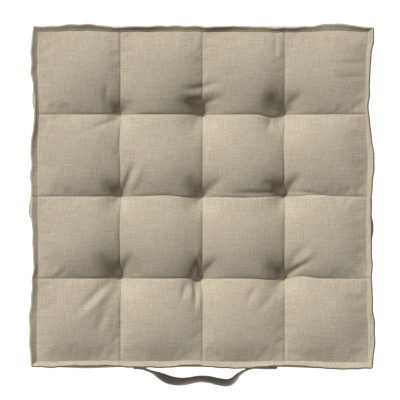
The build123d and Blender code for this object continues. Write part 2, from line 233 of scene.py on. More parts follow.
def add_object(name, points, faces, cloth=None, wear=None):
    """A smooth mesh from points in millimetres. Pieces of linen have a place on the flat cloth, and wear."""
    mesh = bpy.data.meshes.new(name)
    mesh.from_pydata((np.asarray(points) * MM).tolist(), [], [list(map(int, face)) for face in faces])
    if cloth is not None:
        flat = np.zeros((len(points), 3), np.float32)
        flat[:, :2] = np.asarray(cloth) * MM
        mesh.attributes.new("cloth", "FLOAT_VECTOR", "POINT").data.foreach_set("vector", flat.ravel())
        amount = np.asarray(wear, np.float32)
        mesh.attributes.new("wear", "FLOAT", "POINT").data.foreach_set("value", amount)
    mesh.polygons.foreach_set("use_smooth", np.ones(len(mesh.polygons), bool))
    mesh.update()
    made = bpy.data.objects.new(name, mesh)
    bpy.context.scene.collection.objects.link(made)
    return made


def grid_faces(shape):
    """Faces between the points of a grid of this shape."""
    index = np.arange(shape[0] * shape[1]).reshape(shape)
    return np.stack([index[:-1, :-1], index[:-1, 1:], index[1:, 1:], index[1:, :-1]], -1).reshape(-1, 4)


def block_faces(shape):
    """Faces of a closed block, whose points are one grid of this shape and then another behind it."""
    quads = grid_faces(shape)
    count = shape[0] * shape[1]
    index = np.arange(count).reshape(shape)
    rim = np.concatenate([index[0, :], index[1:, -1], index[-1, -2::-1], index[-2:0:-1, 0]])
    after = np.roll(rim, -1)
    edge = np.stack([after, rim, rim + count, after + count], -1)
    return np.concatenate([quads, quads[:, ::-1] + count, edge])


def bar_faces(rings, sides):
    """Faces of a closed bar, whose points are rings, one after the other."""
    index = np.arange(rings * sides).reshape(rings, sides)
    after = np.roll(index, -1, axis=1)
    quads = np.stack([index[:-1], index[1:], after[1:], after[:-1]], -1).reshape(-1, 4)
    return quads.tolist() + [index[0].tolist(), index[-1, ::-1].tolist()]


def shell(name, grid, cloth, wear, thickness, facing):
    """A closed cloth shell whose outer face is a grid of points, facing the way given."""
    normal = grid_normals(grid)
    thickness = np.broadcast_to(np.asarray(thickness, float), grid.shape[:2])
    if (normal @ np.array(facing, float)).mean() < 0:
        grid, cloth, wear, thickness = grid[:, ::-1], cloth[:, ::-1], wear[:, ::-1], thickness[:, ::-1]
        normal = -normal[:, ::-1]
    inner = grid - thickness[..., None] * normal
    points = np.concatenate([grid.reshape(-1, 3), inner.reshape(-1, 3)])
    flat = np.concatenate([cloth.reshape(-1, 2)] * 2)
    worn = np.concatenate([wear.ravel()] * 2)
    return add_object(name, points, block_faces(grid.shape[:2]), flat, worn)


def tube(line, radii, sides=6):
    """Points and faces of a round bar along a line of points, closed at both ends."""
    line = np.asarray(line, float)
    radii = np.broadcast_to(np.asarray(radii, float), len(line))
    heading = np.gradient(line, axis=0)
    heading /= np.maximum(np.linalg.norm(heading, axis=1, keepdims=True), 1e-9)
    upright = abs(heading[:, 2]).max() > 0.9
    side = np.cross(heading, (1.0, 0.0, 0.0) if upright else (0.0, 0.0, 1.0))
    side /= np.linalg.norm(side, axis=1, keepdims=True)
    lift = np.cross(side, heading)
    turns = np.arange(sides) * 2 * math.pi / sides
    ring = np.cos(turns)[None, :, None] * side[:, None] + np.sin(turns)[None, :, None] * lift[:, None]
    points = (line[:, None] + ring * radii[:, None, None]).reshape(-1, 3)
    return points, bar_faces(len(line), sides)


def joined(name, parts):
    """One object from several pieces given as (points, faces)."""
    points, faces, start = [], [], 0
    for piece_points, piece_faces in parts:
        points.append(piece_points)
        faces += [[start + corner for corner in face] for face in piece_faces]
        start += len(piece_points)
    return add_object(name, np.concatenate(points), faces)


def stitch(start, end, up, radius):
    """A short thread that comes out of the cloth, lies on it and goes in again."""
    start, end, up = np.array(start, float), np.array(end, float), np.array(up, float)
    shares, lifts, thickness = np.transpose(STITCH_STEPS)
    line = start + shares[:, None] * (end - start) + radius * lifts[:, None] * up
    return tube(line, radius * thickness)


# ------------ the shape of the cover


def fold_height(x, y, at_x, at_y, direction, half_length, half_width, height):
    """A soft fold or hollow that lies one way."""
    turn = math.radians(direction)
    along = (x - at_x) * math.cos(turn) + (y - at_y) * math.sin(turn)
    aside = -(x - at_x) * math.sin(turn) + (y - at_y) * math.cos(turn)
    return height * np.exp(-((along / half_length) ** 2) - (aside / half_width) ** 2)


def pit_depth(away, reach):
    """Depth of a tuft's pit: steep near the tie, and running out into the pads."""
    steps = np.linspace(0, PITCH, 400)
    slope = PIT_SLOPE / (1 + (steps / reach) ** PIT_FALL)
    depth = np.cumsum(slope[::-1])[::-1] * (steps[1] - steps[0])
    return np.interp(away, steps, depth - depth[-1])


def nearest_seam(place):
    """Distance to the nearest seam between squares."""
    return np.abs(place[..., None] - PITCH * np.array([-1, 0, 1])).min(-1)


def top_height(x, y):
    """Height of the padded top inside the edge seams."""
    column = np.clip(np.floor((x + HALF) / PITCH), 0, 3)
    row = np.clip(np.floor((y + HALF) / PITCH), 0, 3)
    u = 2 * (x + HALF - column * PITCH) / PITCH - 1
    v = 2 * (y + HALF - row * PITCH) / PITCH - 1
    z = SEAM_Z + CROWN * (1 - np.abs(u) ** CROWN_POWER) * (1 - np.abs(v) ** CROWN_POWER)
    z = z + DOME * (1 - (x / HALF) ** 2) * (1 - (y / HALF) ** 2)
    for (i, j), reach in zip(TUFTS, PIT_REACHES):
        away = np.sqrt((x - i * PITCH) ** 2 + (y - j * PITCH) ** 2 + PIT_ROUND)
        z = z - pit_depth(away, reach)
    for fold in FOLDS:
        z = z + fold_height(x, y, *fold)
    creases = []
    for place, other in ((x, y), (y, x)):
        fade = 1 - 0.55 * smooth(0.62 * HALF, 0.98 * HALF, np.abs(other))
        creases.append(CREASE * fade * np.exp(-nearest_seam(place) / CREASE_REACH))
    z = z - np.hypot(*creases)
    inside = smooth(0, 25, HALF - np.maximum(np.abs(x), np.abs(y)))
    return z + inside * (0.35 * ripple(11, x, y, 75) + 0.07 * ripple(12, x, y, 24))


def drawn(x, y):
    """Where a point of the top lies once the ties have drawn the cloth sideways."""
    moved_x, moved_y = np.array(x, float), np.array(y, float)
    for at_x, at_y, by_x, by_y, reach in PULLS:
        amount = np.exp(-((x - at_x) ** 2 + (y - at_y) ** 2) / reach**2)
        moved_x += by_x * amount
        moved_y += by_y * amount
    return moved_x, moved_y


def side_wave(side, along, z):
    """How far a side stands out or in at its flanges."""
    seed = 40 + list(SIDES).index(side)
    wave = through(WAVES[side], along)
    start, end = (WALL_MID + 8, WALL_HIGH) if side in ("front", "back") else (WALL_LOW, WALL_MID + 20)
    top = (wave + 0.6 * ripple(seed + 9, along, 0 * along, 34, 6)) * smooth(start, end, z)
    low = LOW_WAVE * (ripple(seed, along, 0 * along, 150, 5) - 1) + 0.8 * np.minimum(wave, 0)
    return top + low * (1 - smooth(WALL_LOW, WALL_MID - 8, z))


def wander(grid):
    """Moves the outline of a piece in and out, less and less towards the middle of the cushion."""
    x, y, z = grid[..., 0], grid[..., 1], grid[..., 2]
    moved = grid.copy()
    for side, (way_x, way_y) in SIDES.items():
        reach = way_x * x + way_y * y
        along = x if way_x == 0 else y
        share = 0.45 * smooth(HALF - 90, HALF, reach) + 0.55 * smooth(HALF, OUTER, reach)
        amount = share * side_wave(side, along, z)
        moved[..., 0] += way_x * amount
        moved[..., 1] += way_y * amount
    return moved


def lip_reach(share):
    """How far the top flange is out of its seam, at a share of its cloth's width."""
    return np.interp(share, np.linspace(0, 1, len(LIP_LINE)), [out for out, rise in LIP_LINE])


def lip_rise(share):
    """How far the top flange is over its seam, at a share of its cloth's width."""
    return np.interp(share, np.linspace(0, 1, len(LIP_LINE)), [rise for out, rise in LIP_LINE])


def lip_droop(x, y):
    """The uneven rise of the flange round the cushion, as a share of its own rise."""
    return 1 + 0.16 * ripple(21, x, y, 130, 7)


# ------------ materials


class Graph:
    """A material and its nodes."""

    def __init__(self, name):
        self.material = bpy.data.materials.new(name)
        self.material.use_nodes = True
        self.tree = self.material.node_tree
        self.shader = self.tree.nodes["Principled BSDF"]

    def put(self, socket, value):
        if isinstance(value, bpy.types.NodeSocket):
            self.tree.links.new(value, socket)
        else:
            socket.default_value = value

    def node(self, kind, sockets, **settings):
        made = self.tree.nodes.new(kind)
        for key, value in settings.items():
            setattr(made, key, value)
        for key, value in sockets.items():
            self.put(made.inputs[key], value)
        return made

    def math(self, operation, *values):
        return self.node("ShaderNodeMath", dict(enumerate(values)), operation=operation).outputs[0]

    def times(self, first, second):
        return self.math("MULTIPLY", first, second)

    def scaled(self, value, factor, extra):
        """A number times a factor, with more added to it."""
        return self.math("MULTIPLY_ADD", value, factor, extra)

    def place(self):
        return self.node("ShaderNodeTexCoord", {}).outputs["Object"]

    def attribute(self, name, output):
        return self.node("ShaderNodeAttribute", {}, attribute_name=name).outputs[output]

    def parts(self, vector):
        return self.node("ShaderNodeSeparateXYZ", {0: vector}).outputs

    def noise(self, coords, scales, detail=2.0):
        """Noise with a scale of its own on each axis."""
        sockets = {0: coords, 1: scales}
        stretched = self.node("ShaderNodeVectorMath", sockets, operation="MULTIPLY").outputs[0]
        sockets = {"Vector": stretched, "Scale": 1.0, "Detail": detail}
        return self.node("ShaderNodeTexNoise", sockets).outputs["Fac"]

    def spread(self, value, low, high):
        """Turns 0.3 to 0.7, where most noise lies, into low to high."""
        sockets = {"Value": value, "From Min": 0.3, "From Max": 0.7, "To Min": low, "To Max": high}
        return self.node("ShaderNodeMapRange", sockets).outputs["Result"]

    def shaded(self, color, amount):
        """A colour times a number."""
        sockets = {0: color, "Scale": amount}
        return self.node("ShaderNodeVectorMath", sockets, operation="SCALE").outputs[0]

    def mixed(self, amount, first, second):
        made = self.tree.nodes.new("ShaderNodeMix")
        made.data_type = "RGBA"
        for name, value in (("Factor_Float", amount), ("A_Color", first), ("B_Color", second)):
            self.put(next(s for s in made.inputs if s.identifier == name), value)
        return next(s for s in made.outputs if s.identifier == "Result_Color")

    def wave(self, value, pitch):
        """A wave from 0 to 1, which comes back each time that the value grows by its pitch."""
        turns = self.times(value, 2 * math.pi / pitch)
        return self.scaled(self.math("SINE", turns), 0.5, 0.5)

    def mottled(self, color, *parts):
        """A colour times some values, each of them spread between two shares."""
        for value, low, high in parts:
            color = self.shaded(color, self.spread(value, low, high))
        return color

    def finish(self, tone, roughness, height, depth, fixed=()):
        """Sets the colour, the roughness, a bump whose full height is depth metres, and fixed values."""
        bump = self.node("ShaderNodeBump", {"Height": height, "Distance": depth, "Strength": 1.0})
        sockets = {"Base Color": tone, "Roughness": roughness, "Normal": bump.outputs[0]}
        sockets.update(fixed)
        for name, value in sockets.items():
            self.put(self.shader.inputs[name], value)
        return self.material


def woven(graph, coords, pitch):
    """A plain weave: its height from 0 to 1, and which of the two yarns is on top (0 or 1)."""
    drift = graph.math("SUBTRACT", graph.noise(coords, (90, 90, 90), 1.0), 0.5)
    waves = []
    for place in graph.parts(coords)[:2]:
        turns = graph.scaled(place, 1 / pitch, drift)
        waves.append(graph.math("SINE", graph.times(turns, math.pi)))
    both = graph.times(*waves)
    on_top = graph.scaled(both, 0.5, 0.5)
    under = graph.math("SUBTRACT", 1.0, on_top)
    warp = graph.times(graph.math("ABSOLUTE", waves[0]), on_top)
    weft = graph.times(graph.math("ABSOLUTE", waves[1]), under)
    return graph.math("MAXIMUM", warp, weft), graph.math("GREATER_THAN", both, 0.0)


def linen(name, color, pitch):
    """Unbleached linen: a plain weave of uneven yarns, with painted shade between the yarns, slubs, soft
    patches and pale worn edges.
    """
    graph = Graph(name)
    coords = graph.attribute("cloth", "Vector")
    height, warp_on_top = woven(graph, coords, pitch)
    fine = 0.9 / pitch
    warp_slubs = graph.noise(coords, (fine, 35, 1), 3.0)
    weft_slubs = graph.noise(coords, (28, fine, 1), 3.0)
    weft_on_top = graph.math("SUBTRACT", 1.0, warp_on_top)
    slubs = graph.scaled(warp_slubs, warp_on_top, graph.times(weft_slubs, weft_on_top))
    streaks = graph.noise(coords, (520, 9, 1))
    bars = graph.noise(coords, (7, 480, 1))
    patches = graph.noise(coords, (9, 9, 9))
    flecks = graph.noise(coords, (fine * 0.6, fine * 0.6, 1))
    # The colour is darkened where the weave dips between the yarns: painted shade. The slubs, streaks, bars,
    # patches and flecks multiplied in after it are the cloth's own tone.
    groove_shade_and_tone = graph.scaled(height, 0.22, 0.84)
    for value, change in ((slubs, 0.2), (streaks, 0.025), (bars, 0.025), (patches, 0.015), (flecks, 0.22)):
        groove_shade_and_tone = graph.times(groove_shade_and_tone, graph.spread(value, 1 - change, 1 + change))
    tints = ((1.05, 1.0, 0.93), (0.96, 1.0, 1.06), (1.28, 1.28, 1.28))
    warm, cool, pale = [tuple(c * k for c, k in zip(color, tint)) + (1.0,) for tint in tints]
    tone = graph.shaded(graph.mixed(graph.spread(warp_slubs, 0.0, 1.0), warm, cool), groove_shade_and_tone)
    wear = graph.attribute("wear", "Fac")
    tone = graph.mixed(graph.times(wear, graph.spread(flecks, 0.5, 1.0)), tone, pale)
    raised = graph.scaled(slubs, 0.8, height)
    fixed = {"Specular IOR Level": 0.25, "Sheen Weight": 0.12, "Sheen Roughness": 0.5}
    return graph.finish(tone, graph.spread(flecks, 0.82, 0.96), raised, 0.35 * MM, fixed)


def spun(name, color, pitch):
    """Thread or twine: fine fibres with slanted plies."""
    graph = Graph(name)
    coords = graph.place()
    x, y, z = graph.parts(coords)
    plies = graph.wave(graph.math("ADD", x, graph.math("ADD", y, z)), pitch)
    fibres = graph.noise(coords, (3000, 3000, 3000))
    # The colour is darkened in the grooves between the plies: painted shade. The fibre mottling is the
    # thread's own tone.
    tone = graph.shaded(graph.mottled(color, (fibres, 0.88, 1.1)), graph.scaled(plies, 0.2, 0.85))
    return graph.finish(tone, graph.spread(fibres, 0.65, 0.85), plies, 0.12 * MM)


def fleece(name, color):
    """Polyester wadding: a white mat of fine crossing fibres."""
    graph = Graph(name)
    coords = graph.place()
    tufts = graph.noise(coords, (70, 70, 70), 4.0)
    fibres = graph.noise(coords, (900, 260, 600), 4.0)
    tone = graph.mottled(color, (tufts, 0.93, 1.03), (fibres, 0.9, 1.04))
    height = graph.math("ADD", tufts, fibres)
    return graph.finish(tone, graph.spread(fibres, 0.85, 1.0), height, 1.2 * MM, {"Sheen Weight": 0.3})


def cut_foam(name, color):
    """Upholstery foam, with its open cells and a slight yellowing in patches."""
    graph = Graph(name)
    coords = graph.place()
    cells = graph.node("ShaderNodeTexVoronoi", {"Vector": coords, "Scale": 900.0}).outputs["Distance"]
    patches = graph.noise(coords, (12, 12, 12), 3.0)
    # The colour is darker towards the middle of each open cell, where the surface dips: painted shade in the
    # pores. The patches are the foam's own tone.
    tone = graph.mottled(color, (cells, 0.8, 1.05), (patches, 0.95, 1.03))
    return graph.finish(tone, graph.spread(patches, 0.85, 0.95), cells, 0.5 * MM)


def tape_twill(name, color):
    """Zip tape: a tight twill with a ribbed edge."""
    graph = Graph(name)
    coords = graph.place()
    x, y, z = graph.parts(coords)
    ribs = graph.wave(graph.scaled(z, 2.0, x), 1.1 * MM)
    fibres = graph.noise(coords, (1500, 1500, 400))
    # The colour is darkened in the grooves between the ribs: painted shade. The fibre mottling is the tape's
    # own tone.
    tone = graph.shaded(graph.mottled(color, (fibres, 0.93, 1.05)), graph.scaled(ribs, 0.2, 0.85))
    return graph.finish(tone, graph.spread(fibres, 0.7, 0.85), ribs, 0.12 * MM)


def moulded(name, color):
    """Nylon zip coil: satin plastic with a faint grain and rubbed tops."""
    graph = Graph(name)
    coords = graph.place()
    grain = graph.noise(coords, (2500, 2500, 2500))
    patches = graph.noise(coords, (25, 25, 25))
    tone = graph.mottled(color, (grain, 0.96, 1.04), (patches, 0.93, 1.05))
    return graph.finish(tone, graph.spread(grain, 0.35, 0.5), grain, 0.03 * MM)


def brushed(name, color):
    """Nickel-plated zip metal, brushed along X and dulled in patches."""
    graph = Graph(name)
    coords = graph.place()
    strokes = graph.noise(coords, (300, 6000, 6000))
    dull = graph.noise(coords, (400, 400, 400), 3.0)
    tone = graph.mottled(color, (strokes, 0.94, 1.04), (dull, 0.85, 1.03))
    return graph.finish(tone, graph.spread(dull, 0.28, 0.5), strokes, 0.02 * MM, {"Metallic": 1.0})


# The material of each slot
LINEN = (0.474, 0.420, 0.329)
LOOKS = {
    "cover_cloth": linen("cover_linen", LINEN, 1.15 * MM),
    "strap_cloth": linen("strap_linen", tuple(c * 0.97 for c in LINEN), 1.0 * MM),
    "thread": spun("sewing_thread", (0.62, 0.56, 0.45), 0.5 * MM),
    "tie_twine": spun("tie_twine", (0.66, 0.60, 0.48), 1.2 * MM),
    "wadding": fleece("polyester_wadding", (0.86, 0.86, 0.84)),
    "foam": cut_foam("cut_foam", (0.78, 0.74, 0.58)),
    "zip_tape": tape_twill("zip_tape", (0.40, 0.35, 0.265)),
    "zip_coil": moulded("zip_coil", (0.36, 0.31, 0.235)),
    "zip_metal": brushed("zip_metal", (0.58, 0.56, 0.52)),
}


def finished(piece, slot, nodes, body="cushion"):
    """Gives a piece the material of its slot, hides the nodes of the model that it stands for, and hangs it
    on the body it rides on.
    """
    piece.data.materials.clear()
    piece.data.materials.append(LOOKS[slot])
    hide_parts(*nodes)
    if body:
        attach(piece, body)


# ------------ the padded top

PUFF_CELLS = 116
PUFF_FRAMES = 20
PUFF_MOST = 5.0
PUFF_CLOTH = {
    "vertex_group_mass": "held",
    "quality": 6,
    "mass": 0.3,
    "tension_stiffness": 12,
    "compression_stiffness": 12,
    "shear_stiffness": 6,
    "bending_stiffness": 1.5,
    "shrink_min": -0.004,
    "use_pressure": True,
    "uniform_pressure_force": 2.0,
}


def puffed_top():
    """Blender's cloth, pinned along its seams and blown up a little: how far each point of a grid moves."""
    places = np.linspace(-HALF, HALF, PUFF_CELLS + 1)
    x, y = np.meshgrid(places, places)
    start = np.stack([*drawn(x, y), top_height(x, y)], -1)
    sheet = add_object("puffing_top", start.reshape(-1, 3), grid_faces(x.shape))
    seam = np.minimum(nearest_seam(x), nearest_seam(y))
    edge = HALF - np.maximum(np.abs(x), np.abs(y))
    held = np.maximum(1 - smooth(1.0, 5.0, seam), 1 - smooth(1.0, 6.0, edge)).ravel()
    group = sheet.vertex_groups.new(name="held")
    for point, weight in enumerate(held):
        if weight > 0:
            group.add([point], float(weight), "REPLACE")
    cloth = sheet.modifiers.new("Cloth", "CLOTH")
    for setting, value in PUFF_CLOTH.items():
        setattr(cloth.settings, setting, value)
    cloth.settings.effector_weights.gravity = 0
    cloth.collision_settings.use_collision = False
    scene = bpy.context.scene
    for step in range(1, PUFF_FRAMES + 1):
        scene.frame_set(step)
    shape = sheet.evaluated_get(bpy.context.evaluated_depsgraph_get())
    end = np.zeros(start.size, np.float32)
    shape.data.vertices.foreach_get("co", end)
    scene.frame_set(1)
    bpy.data.objects.remove(sheet)
    moved = end.reshape(start.shape) / MM - start
    size = np.linalg.norm(moved, axis=-1, keepdims=True)
    return moved * np.minimum(1, PUFF_MOST / np.maximum(size, 1e-6))


PUFF = puffed_top()


def puff_at(x, y):
    """How far the simulated cloth moved at places on the top, read between the points of its grid."""
    if PUFF is None:
        return np.zeros(x.shape + (3,))
    i, j = [np.clip((p + HALF) / (2 * HALF) * PUFF_CELLS, 0, PUFF_CELLS - 1e-6) for p in (x, y)]
    i0, j0 = i.astype(int), j.astype(int)
    fi, fj = (i - i0)[..., None], (j - j0)[..., None]
    low = PUFF[j0, i0] * (1 - fi) + PUFF[j0, i0 + 1] * fi
    high = PUFF[j0 + 1, i0] * (1 - fi) + PUFF[j0 + 1, i0 + 1] * fi
    return low * (1 - fj) + high * fj


def square_lines(index, steps=62, lip_steps=16):
    """Lines across one square: place inside the seams, share of the flange, and drop of the tuck."""
    start, end = PITCH * index - HALF, PITCH * (index + 1) - HALF
    lip = np.linspace(0, 1, lip_steps)
    before = [(start + away, 0.0, drop) for away, drop in TUCKS]
    after = [(end - away, 0.0, drop) for away, drop in TUCKS[::-1]]
    inset, lip_inset = 2.0, 0.8
    first, last = start + inset, end - inset
    if index == 0:
        before = [(start, out, 0.0) for out in lip[::-1]]
        first = start + lip_inset
    if index == 3:
        after = [(end, out, 0.0) for out in lip]
        last = end - lip_inset
    share = np.linspace(0, 1, steps)
    share = 0.6 * share + 0.4 * (0.5 - 0.5 * np.cos(math.pi * share))
    inside = [(place, 0.0, 0.0) for place in first + (last - first) * share]
    return np.transpose(before + inside + after)


def top_square(row, column):
    """One square of the top, with its share of the flange."""
    across, out_x, drop_x = square_lines(column)
    along, out_y, drop_y = square_lines(row)
    x, y = np.meshgrid(across, along)
    out_x, out_y = np.meshgrid(out_x, out_y)
    out = np.maximum(out_x, out_y)
    z = top_height(x, y) - np.maximum(*np.meshgrid(drop_x, drop_y))
    z = z + lip_rise(out) * np.where(out > 0.3, lip_droop(x, y), 1)
    way_x, way_y = np.sign(x), np.sign(y)
    moved_x, moved_y = drawn(x, y)
    grid = np.stack([moved_x + way_x * lip_reach(out_x), moved_y + way_y * lip_reach(out_y), z], -1)
    grid = wander(grid + puff_at(x, y) * (1 - smooth(0, 0.05, out))[..., None])
    flat = np.stack([x + way_x * LIP_WIDTH * out_x, y + way_y * LIP_WIDTH * out_y], -1)
    wear = 0.6 * smooth(0.55, 0.9, out) + 0.10 * smooth(SEAM_Z + 8, SEAM_Z + 20, z)
    thickness = CLOTH + (FLANGE_CLOTH - CLOTH) * smooth(0.0, 0.25, out)
    name = f"r{row + 1}_c{column + 1}"
    piece = shell(f"cushion_top_{name}", grid, flat, wear, thickness, (0, 0, 1))
    finished(piece, "cover_cloth", [f"top_square_{name}"])


for row in range(4):
    for column in range(4):
        top_square(row, column)


# ------------ foam and wadding of the top

SLAB_POINTS = 131


def slab(name, x, y, upper, lower):
    """A closed block between two heights over the same grid of places."""
    layers = [np.stack([x, y, height], -1).reshape(-1, 3) for height in (upper, lower)]
    return add_object(name, np.concatenate(layers), block_faces(x.shape))


def foam_top(x, y):
    """Top of the foam, pressed down where a tie pulls the cloth below it."""
    return np.minimum(FOAM_HIGH, top_height(x, y) - 5.0)


def filling():
    """The foam, dished under the ties, and the layer of wadding between it and the top."""
    low, high = node_box("foam_core")
    places = np.linspace(low[0], high[0], SLAB_POINTS)
    x, y = np.meshgrid(places, places)
    foam = slab("pressed_foam", x, y, foam_top(x, y), low[2] + 0 * x)
    finished(foam, "foam", ["foam_core"])
    reach = node_box("wadding_top")[1][0]
    places = np.linspace(-reach, reach, SLAB_POINTS)
    x, y = np.meshgrid(places, places)
    under = foam_top(x, y) + 0.4
    rim = smooth(0, 14, reach - np.maximum(np.abs(x), np.abs(y)))
    thickness = np.maximum(top_height(x, y) - 3.2 - under, 0.8) * (0.75 + 0.25 * rim)
    layer = slab("top_wadding", *drawn(x, y), under + thickness, under)
    finished(layer, "wadding", ["wadding_top"])


filling()


# ------------ walls and underside


def wall_profile(low, high, steps):
    """Places down a wall between two heights: distance out of its seams, for a full bulge, and height."""
    z = np.linspace(high, low, steps)
    return BULGE - WALL_RADIUS + np.sqrt(WALL_RADIUS**2 - (z - WALL_MID) ** 2), z


def wall_grid(heights, lips):
    """Points down a wall at places along it: distance out of the seams, height, and 1 on a flange, else 0.

    heights gives the lowest and the highest line of the cloth at each place along the wall.
    """
    share = np.linspace(1, 0.12, 14)
    ones = np.ones(len(share))
    upper = np.stack([lip_reach(share), SEAM_Z + lip_rise(share) - 2 * FLANGE_LAYER + LAY_GAP, ones], -1)
    lower = np.stack([lip_reach(share[::-1]), WALL_LOW * ones, ones], -1)
    columns = []
    for low, high in heights:
        out, z = wall_profile(low, high, 44)
        points = [upper] * lips[0] + [np.stack([out, z, 0 * out], -1)] + [lower] * lips[1]
        columns.append(np.concatenate(points))
    return np.array(columns).transpose(1, 0, 2)


def placed(side, along, out, z):
    """Points beside a side, from the place along it, the distance from the middle, and the height."""
    way_x, way_y = SIDES[side]
    if way_x == 0:
        return np.stack([along, way_y * out, z], -1)
    return np.stack([way_x * out, along, z], -1)


def wall_bulge(side, share, out, z):
    """How far a wall stands out of its seams, with its swells and creases."""
    along = share * (HALF + out)
    off_corners = 1 - np.abs(share) ** 8
    off_seams = smooth(0, 12, z - WALL_LOW) * smooth(0, 12, WALL_HIGH - z)
    if side in ("front", "back"):
        fullness = 1.0 - (1.0 - CORNER_FULL) * smooth(0.975, 1.0, np.abs(share))
        calm = smooth(18, 36, np.abs(z - WALL_MID))
    else:
        fullness = SIDE_FULL - (SIDE_FULL - CORNER_FULL) * np.abs(share) ** 6
        calm = 1.0
    swell = 0 * out
    for at_side, at, at_z, height, width in SWELLS:
        if at_side == side:
            away = ((along - at) / width) ** 2 + ((z - at_z) / SWELL_HALF_HEIGHT) ** 2
            swell = swell + height * np.exp(-away)
    seed = 60 + list(SIDES).index(side)
    creases = 1.1 * ripple(seed, along, 2.2 * z, 95) + 0.5 * ripple(seed + 9, along * 1.8, z, 46)
    near_corner = 1.2 * np.exp(-((1 - np.abs(share)) / 0.09) ** 2) * ripple(seed + 19, 0.3 * along, z, 24)
    return out * fullness + off_seams * off_corners * (swell + calm * (creases + near_corner))


# The opening of the back wall that shows the zip
WINDOW_HALF = node_box("zip_coil_upper")[1][0] + 3.5
WINDOW_RISE = node_box("zip_slider")[1][2] + 0.7 - WALL_MID
CLOSED_RISE = 0.2


def window_edge(along):
    """How far the cloth's edge is from the zip's middle line."""
    open_here = 1 - smooth(WINDOW_HALF - 4, WINDOW_HALF + 1, abs(along))
    return CLOSED_RISE + (WINDOW_RISE - CLOSED_RISE) * float(open_here)


def wall(name, side, node, upper=True, lower=True):
    """A wall of the cover, or its upper or lower half, which ends beside the zip."""
    shares = np.linspace(-1, 1, 221)
    shares = 0.93 * shares + 0.07 * np.sin(shares * math.pi / 2)
    heights = []
    for edge in [window_edge(share * HALF) for share in shares]:
        heights.append((WALL_LOW if lower else WALL_MID + edge, WALL_HIGH if upper else WALL_MID - edge))
    profile = wall_grid(heights, (upper, lower))
    out, z, on_lip = profile[..., 0], profile[..., 1], profile[..., 2]
    share = np.broadcast_to(shares, out.shape)
    along = share * (HALF + np.where(on_lip > 0, out, CORNER_FULL * out))
    bulge = np.where(on_lip > 0, out, wall_bulge(side, share, out, z))
    seam = placed(side, along, HALF + 0 * out, z)
    raised = (lip_droop(seam[..., 0], seam[..., 1]) - 1) * lip_rise(0.6) * (on_lip > 0) * (z > WALL_MID)
    grid = wander(placed(side, along, HALF + bulge, z + raised * smooth(0, 6, bulge)))
    flat = np.stack([along, z + on_lip * out * np.sign(z - WALL_MID)], -1)
    thickness = CLOTH + (FLANGE_CLOTH - CLOTH) * on_lip
    piece = shell(name, grid, flat, 0.5 * on_lip * smooth(6, 9, out), thickness, SIDES[side] + (0,))
    finished(piece, "cover_cloth", [node])


for side in ("front", "right", "left"):
    wall(f"{side}_wall", side, f"{side}_boxing")
wall("back_wall_upper", "back", "back_boxing_upper", lower=False)
wall("back_wall_lower", "back", "back_boxing_lower", upper=False)


def side_wadding():
    """The band of wadding between the foam and the walls, one length to each wall."""
    low, high = node_box("wadding_sides")
    foam_side = node_box("foam_core")[1][0] + LAY_GAP
    out, z = wall_profile(low[2], high[2], 24)
    out, share = np.meshgrid(out, np.linspace(-0.998, 0.998, 121), indexing="ij")
    z = np.broadcast_to(z[:, None], out.shape)
    parts = []
    for side, (way_x, way_y) in SIDES.items():
        reach = HALF + wall_bulge(side, share, out, z)
        outer = wander(placed(side, share * reach, reach, z))
        reach = way_x * outer[..., 0] + way_y * outer[..., 1] - 2 * CLOTH
        reach = np.clip(reach, foam_side + 0.5, high[0])
        layers = [placed(side, share * edge, edge, z) for edge in (reach, foam_side + 0 * z)]
        if way_x > way_y:
            layers = [layer[:, ::-1] for layer in layers]
        parts.append((np.concatenate(layers).reshape(-1, 3), block_faces(z.shape).tolist()))
    finished(joined("side_wadding", parts), "wadding", ["wadding_sides"])


side_wadding()


def underside_height(x, y):
    """Height of the bottom panel over the floor, inside its seams."""
    z = 0 * x
    for i, j in TUFTS:
        away = np.hypot(x - i * PITCH, y - j * PITCH)
        z = z + 8 * (1 - smooth(0, 1, (away - 2) / 24)) ** 1.6
        turn = np.arctan2(y - j * PITCH, x - i * PITCH)
        pleats = np.cos(7 * turn + 2 * i + 3 * j) + 0.6 * np.cos(11 * turn + i)
        z = z + 0.5 * (1 + 0.6 * pleats) * smooth(4, 14, away) * (1 - smooth(18, 46, away))
    inside = smooth(0, 20, HALF - np.maximum(np.abs(x), np.abs(y)))
    return z + inside * 0.35 * (1 + ripple(31, x, y, 90)).clip(0)


def bottom_wadding():
    """The layer of wadding between the foam and the bottom panel."""
    low, high = node_box("wadding_bottom")
    reach = high[0] - 5
    places = np.linspace(-reach, reach, SLAB_POINTS)
    x, y = np.meshgrid(places, places)
    rim = 1 - smooth(0, 8, reach - np.maximum(np.abs(x), np.abs(y)))
    lower = underside_height(x, y) + 1.4 * CLOTH + 2.0 * rim
    layer = slab("bottom_wadding", x, y, high[2] - 2.5 * rim, lower)
    finished(layer, "wadding", ["wadding_bottom"])


bottom_wadding()


def underside():
    """The bottom panel, flat on the floor but for a hollow at each tie, with its flange."""
    inner = np.linspace(-HALF, HALF, 175)
    lips = np.linspace(0, 1, 8)[1:]
    places = np.concatenate([-HALF - LIP * lips[::-1], inner, HALF + LIP * lips])
    x, y = np.meshgrid(places, places)
    reach = np.maximum(np.abs(x), np.abs(y)) - HALF
    rounding = smooth(LIP - 1.5, LIP, reach)
    lift = 0.7 * rounding
    grid = wander(np.stack([x, y, underside_height(x, y) + lift], -1))
    thickness = CLOTH + (FLANGE_LAYER - CLOTH) * smooth(-1, 1, reach) - lift
    piece = shell("underside_panel", grid, np.stack([x, y], -1), 0.5 * rounding, thickness, (0, 0, -1))
    finished(piece, "cover_cloth", ["bottom_panel"])


underside()


# ------------ threads and ties


